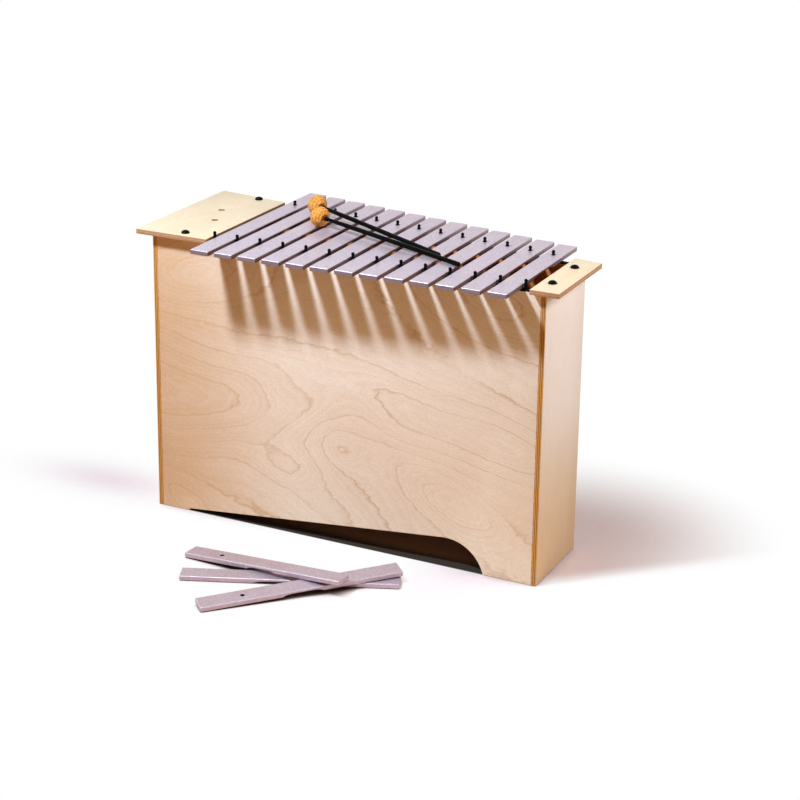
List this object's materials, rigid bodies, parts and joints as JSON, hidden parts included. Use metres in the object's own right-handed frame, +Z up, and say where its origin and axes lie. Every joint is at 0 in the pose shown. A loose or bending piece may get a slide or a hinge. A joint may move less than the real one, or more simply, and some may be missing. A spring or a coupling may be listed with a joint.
{
  "type": "bass metallophone",
  "caption": "Floor-standing bass metallophone: tapered plywood box resonator, row of pinned metal tone bars, spare bars and two yarn mallets",
  "frame": {"origin": "Bottom centre of the bounding box of the whole set, on the floor", "axes": "+X along the box from the bass end to the treble end, +Y from the front panel to the back panel, +Z up"},
  "size_m": [0.92, 0.7888, 0.6506],
  "materials": {
    "birch_front": "clear-lacquered birch plywood, warm flat-sawn face",
    "birch_side": "clear-lacquered birch plywood, plain upright grain",
    "birch_board": "clear-lacquered birch plywood, pale",
    "birch_inside": "unlacquered birch plywood",
    "bar_paint": "fine-textured silver-grey lacquer on aluminium",
    "black_rubber": "soft black strip",
    "black_pin": "soft black sleeve with a ball head",
    "black_gloss": "polished black",
    "orange_yarn": "wound wool yarn"
  },
  "bodies": {
    "cabinet": {"front_panel": "birch_front", "back_panel": "birch_front", "left_side_panel": "birch_side", "right_side_panel": "birch_side", "sloping_floor": "birch_inside", "left_cover_board": "birch_board", "right_cover_board": "birch_board", "front_strip": "black_rubber", "back_strip": "black_rubber", "left_front_screw": "black_gloss", "left_back_screw": "black_gloss", "right_front_screw": "black_gloss", "right_back_screw": "black_gloss", "far_pin_01": "black_pin", "far_pin_02": "black_pin", "far_pin_03": "black_pin", "far_pin_04": "black_pin", "far_pin_05": "black_pin", "far_pin_06": "black_pin", "far_pin_07": "black_pin", "far_pin_08": "black_pin", "far_pin_09": "black_pin", "far_pin_10": "black_pin", "far_pin_11": "black_pin", "far_pin_12": "black_pin", "far_pin_13": "black_pin", "guide_pin_01": "black_pin", "guide_pin_02": "black_pin", "guide_pin_03": "black_pin", "guide_pin_04": "black_pin", "guide_pin_05": "black_pin", "guide_pin_06": "black_pin", "guide_pin_07": "black_pin", "guide_pin_08": "black_pin", "guide_pin_09": "black_pin", "guide_pin_10": "black_pin", "guide_pin_11": "black_pin", "guide_pin_12": "black_pin", "guide_pin_13": "black_pin", "guide_pin_14": "black_pin"},
    "bar_01": {"tone_bar_01": "bar_paint"},
    "bar_02": {"tone_bar_02": "bar_paint"},
    "bar_03": {"tone_bar_03": "bar_paint"},
    "bar_04": {"tone_bar_04": "bar_paint"},
    "bar_05": {"tone_bar_05": "bar_paint"},
    "bar_06": {"tone_bar_06": "bar_paint"},
    "bar_07": {"tone_bar_07": "bar_paint"},
    "bar_08": {"tone_bar_08": "bar_paint"},
    "bar_09": {"tone_bar_09": "bar_paint"},
    "bar_10": {"tone_bar_10": "bar_paint"},
    "bar_11": {"tone_bar_11": "bar_paint"},
    "bar_12": {"tone_bar_12": "bar_paint"},
    "bar_13": {"tone_bar_13": "bar_paint"},
    "spare_low": {"spare_bar_low": "bar_paint"},
    "spare_middle": {"spare_bar_middle": "bar_paint"},
    "spare_top": {"spare_bar_top": "bar_paint"},
    "front_mallet": {"front_mallet_head": "orange_yarn", "front_mallet_stick": "black_gloss"},
    "rear_mallet": {"rear_mallet_head": "orange_yarn", "rear_mallet_stick": "black_gloss"}
  },
  "joints": [
    {"name": "bar_01_lift", "type": "slide", "parent": "cabinet", "child": "bar_01", "axis": [0, 0, 1], "range_m": [0, 0.06]},
    {"name": "bar_02_swing", "type": "hinge", "parent": "cabinet", "child": "bar_02", "pos_m": [-0.2096, 0.28347, 0.5976], "axis": [0, 0, 1], "range_deg": [-0.3, 0.3]},
    {"name": "bar_03_swing", "type": "hinge", "parent": "cabinet", "child": "bar_03", "pos_m": [-0.1579, 0.27659, 0.5976], "axis": [0, 0, 1], "range_deg": [-0.3, 0.3]},
    {"name": "bar_04_swing", "type": "hinge", "parent": "cabinet", "child": "bar_04", "pos_m": [-0.1062, 0.26971, 0.5976], "axis": [0, 0, 1], "range_deg": [-0.3, 0.3]},
    {"name": "bar_05_swing", "type": "hinge", "parent": "cabinet", "child": "bar_05", "pos_m": [-0.0545, 0.26282, 0.5976], "axis": [0, 0, 1], "range_deg": [-0.3, 0.3]},
    {"name": "bar_06_swing", "type": "hinge", "parent": "cabinet", "child": "bar_06", "pos_m": [-0.0028, 0.25594, 0.5976], "axis": [0, 0, 1], "range_deg": [-0.3, 0.3]},
    {"name": "bar_07_swing", "type": "hinge", "parent": "cabinet", "child": "bar_07", "pos_m": [0.0489, 0.24906, 0.5976], "axis": [0, 0, 1], "range_deg": [-0.3, 0.3]},
    {"name": "bar_08_swing", "type": "hinge", "parent": "cabinet", "child": "bar_08", "pos_m": [0.1006, 0.24217, 0.5976], "axis": [0, 0, 1], "range_deg": [-0.3, 0.3]},
    {"name": "bar_09_swing", "type": "hinge", "parent": "cabinet", "child": "bar_09", "pos_m": [0.1523, 0.23529, 0.5976], "axis": [0, 0, 1], "range_deg": [-0.3, 0.3]},
    {"name": "bar_10_swing", "type": "hinge", "parent": "cabinet", "child": "bar_10", "pos_m": [0.204, 0.22841, 0.5976], "axis": [0, 0, 1], "range_deg": [-0.3, 0.3]},
    {"name": "bar_11_lift", "type": "slide", "parent": "cabinet", "child": "bar_11", "axis": [0, 0, 1], "range_m": [0, 0.06]},
    {"name": "bar_12_lift", "type": "slide", "parent": "cabinet", "child": "bar_12", "axis": [0, 0, 1], "range_m": [0, 0.06]},
    {"name": "bar_13_lift", "type": "slide", "parent": "cabinet", "child": "bar_13", "axis": [0, 0, 1], "range_m": [0, 0.06]},
    {"name": "spare_low_lift", "type": "slide", "parent": "cabinet", "child": "spare_low", "axis": [0, 0, 1], "range_m": [0, 0.15]},
    {"name": "spare_middle_lift", "type": "slide", "parent": "spare_low", "child": "spare_middle", "axis": [0, 0, 1], "range_m": [0, 0.15]},
    {"name": "spare_top_lift", "type": "slide", "parent": "spare_middle", "child": "spare_top", "axis": [0, 0, 1], "range_m": [0, 0.15]},
    {"name": "front_mallet_lift", "type": "slide", "parent": "cabinet", "child": "front_mallet", "axis": [0, 0, 1], "range_m": [0, 0.2]},
    {"name": "rear_mallet_lift", "type": "slide", "parent": "cabinet", "child": "rear_mallet", "axis": [0, 0, 1], "range_m": [0, 0.2]}
  ]
}
